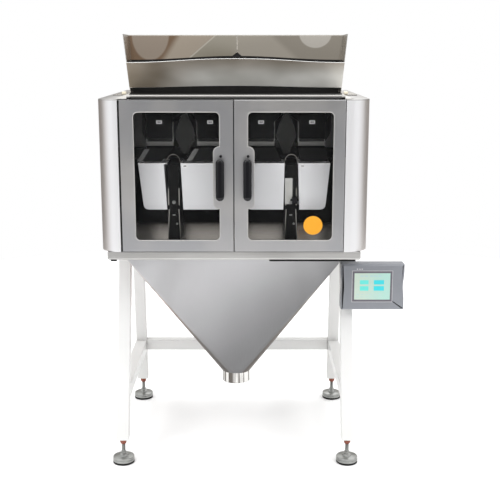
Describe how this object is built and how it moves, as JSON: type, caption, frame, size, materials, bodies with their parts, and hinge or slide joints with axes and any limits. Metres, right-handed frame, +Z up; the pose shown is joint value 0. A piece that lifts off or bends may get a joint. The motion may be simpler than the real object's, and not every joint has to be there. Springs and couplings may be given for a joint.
{
  "type": "four-head linear weigher",
  "caption": "Stainless linear weigher with glazed doors, feed hopper, vibrating pans, weigh buckets and collecting hopper on a raked tube stand.",
  "frame": {"origin": "centre of the bounding box on the floor", "axes": "+Z up, +X towards the touch panel side, doors face -Y"},
  "size_m": [0.956, 0.752, 1.382],
  "materials": {
    "brushed_steel": "brushed",
    "satin_steel": "satin",
    "mirror_steel": "mirror polished",
    "white_paint": "powder coat",
    "black_paint": "satin",
    "zinc_steel": "plated",
    "red_brown_lacquer": "lacquered",
    "clear_acrylic": "clear",
    "black_gloss_plastic": "gloss",
    "grey_plastic": "fine textured"
  },
  "bodies": {
    "machine": {"leg_front_left": "white_paint", "foot_front_left": "zinc_steel", "lock_nut_front_left": "red_brown_lacquer", "leg_front_right": "white_paint", "foot_front_right": "zinc_steel", "lock_nut_front_right": "red_brown_lacquer", "leg_rear_left": "white_paint", "foot_rear_left": "zinc_steel", "lock_nut_rear_left": "red_brown_lacquer", "leg_rear_right": "white_paint", "foot_rear_right": "zinc_steel", "lock_nut_rear_right": "red_brown_lacquer", "side_brace_left": "white_paint", "top_rail_left": "white_paint", "side_brace_right": "white_paint", "top_rail_right": "white_paint", "rear_brace": "white_paint", "collecting_hopper": "brushed_steel", "spout": "satin_steel", "base_tray": "brushed_steel", "side_panel_left": "satin_steel", "drive_column_left": "black_paint", "weigh_bucket_inner_left": "satin_steel", "weigh_bucket_outer_left": "satin_steel", "side_panel_right": "satin_steel", "drive_column_right": "black_paint", "weigh_bucket_inner_right": "satin_steel", "weigh_bucket_outer_right": "satin_steel", "rear_cover": "satin_steel", "front_roof": "black_paint", "drive_box": "black_paint", "lower_apron": "mirror_steel", "vibrator_1": "black_paint", "vibrator_2": "black_paint", "vibrator_3": "black_paint", "vibrator_4": "black_paint", "gate_beam": "black_paint", "chute_block": "satin_steel", "feed_hopper": "mirror_steel", "hopper_front_wall": "brushed_steel", "touch_panel": "grey_plastic", "panel_bracket": "white_paint"},
    "door_left_leaf": {"door_left": "brushed_steel", "window_pane_left": "clear_acrylic", "door_handle_left": "black_gloss_plastic"},
    "door_right_leaf": {"door_right": "brushed_steel", "window_pane_right": "clear_acrylic", "door_handle_right": "black_gloss_plastic"},
    "flap_inner_left": {"discharge_flap_inner_left": "satin_steel"},
    "flap_outer_left": {"discharge_flap_outer_left": "satin_steel"},
    "flap_inner_right": {"discharge_flap_inner_right": "satin_steel"},
    "flap_outer_right": {"discharge_flap_outer_right": "satin_steel"},
    "pan_1": {"feeder_pan_1": "satin_steel"},
    "pan_2": {"feeder_pan_2": "satin_steel"},
    "pan_3": {"feeder_pan_3": "satin_steel"},
    "pan_4": {"feeder_pan_4": "satin_steel"},
    "gate_1": {"pan_gate_1": "black_paint"},
    "gate_2": {"pan_gate_2": "black_paint"},
    "gate_3": {"pan_gate_3": "black_paint"},
    "gate_4": {"pan_gate_4": "black_paint"}
  },
  "joints": [
    {"name": "door_left_hinge", "type": "hinge", "parent": "machine", "child": "door_left_leaf", "pos_m": [-0.412, -0.346, 0.957], "axis": [0, 0, -1], "range_deg": [0, 110]},
    {"name": "door_right_hinge", "type": "hinge", "parent": "machine", "child": "door_right_leaf", "pos_m": [0.262, -0.346, 0.957], "axis": [0, 0, 1], "range_deg": [0, 110]},
    {"name": "flap_inner_left_hinge", "type": "hinge", "parent": "machine", "child": "flap_inner_left", "pos_m": [-0.2225, -0.207, 0.853], "axis": [0, 1, 0], "range_deg": [0, 70], "stiffness_Nm_per_rad": 0.4, "springref_deg": -34.38},
    {"name": "flap_outer_left_hinge", "type": "hinge", "parent": "machine", "child": "flap_outer_left", "pos_m": [-0.2845, -0.207, 0.853], "axis": [0, -1, 0], "range_deg": [0, 70], "stiffness_Nm_per_rad": 0.4, "springref_deg": -34.38},
    {"name": "flap_inner_right_hinge", "type": "hinge", "parent": "machine", "child": "flap_inner_right", "pos_m": [0.076, -0.207, 0.853], "axis": [0, -1, 0], "range_deg": [0, 70], "stiffness_Nm_per_rad": 0.4, "springref_deg": -34.38},
    {"name": "flap_outer_right_hinge", "type": "hinge", "parent": "machine", "child": "flap_outer_right", "pos_m": [0.1375, -0.207, 0.853], "axis": [0, 1, 0], "range_deg": [0, 70], "stiffness_Nm_per_rad": 0.4, "springref_deg": -34.38},
    {"name": "pan_1_vibration", "type": "slide", "parent": "machine", "child": "pan_1", "axis": [0, 1, 0], "range_m": [-0.001, 0.001], "stiffness_N_per_m": 20000},
    {"name": "pan_2_vibration", "type": "slide", "parent": "machine", "child": "pan_2", "axis": [0, 1, 0], "range_m": [-0.001, 0.001], "stiffness_N_per_m": 20000},
    {"name": "pan_3_vibration", "type": "slide", "parent": "machine", "child": "pan_3", "axis": [0, 1, 0], "range_m": [-0.001, 0.001], "stiffness_N_per_m": 20000},
    {"name": "pan_4_vibration", "type": "slide", "parent": "machine", "child": "pan_4", "axis": [0, 1, 0], "range_m": [-0.001, 0.001], "stiffness_N_per_m": 20000},
    {"name": "gate_1_hinge", "type": "hinge", "parent": "machine", "child": "gate_1", "pos_m": [-0.303, -0.2135, 1.138], "axis": [-1, 0, 0], "range_deg": [0, 60]},
    {"name": "gate_2_hinge", "type": "hinge", "parent": "machine", "child": "gate_2", "pos_m": [-0.145, -0.2135, 1.138], "axis": [-1, 0, 0], "range_deg": [0, 60]},
    {"name": "gate_3_hinge", "type": "hinge", "parent": "machine", "child": "gate_3", "pos_m": [0.013, -0.2135, 1.138], "axis": [-1, 0, 0], "range_deg": [0, 60]},
    {"name": "gate_4_hinge", "type": "hinge", "parent": "machine", "child": "gate_4", "pos_m": [0.171, -0.2135, 1.138], "axis": [-1, 0, 0], "range_deg": [0, 60]}
  ]
}
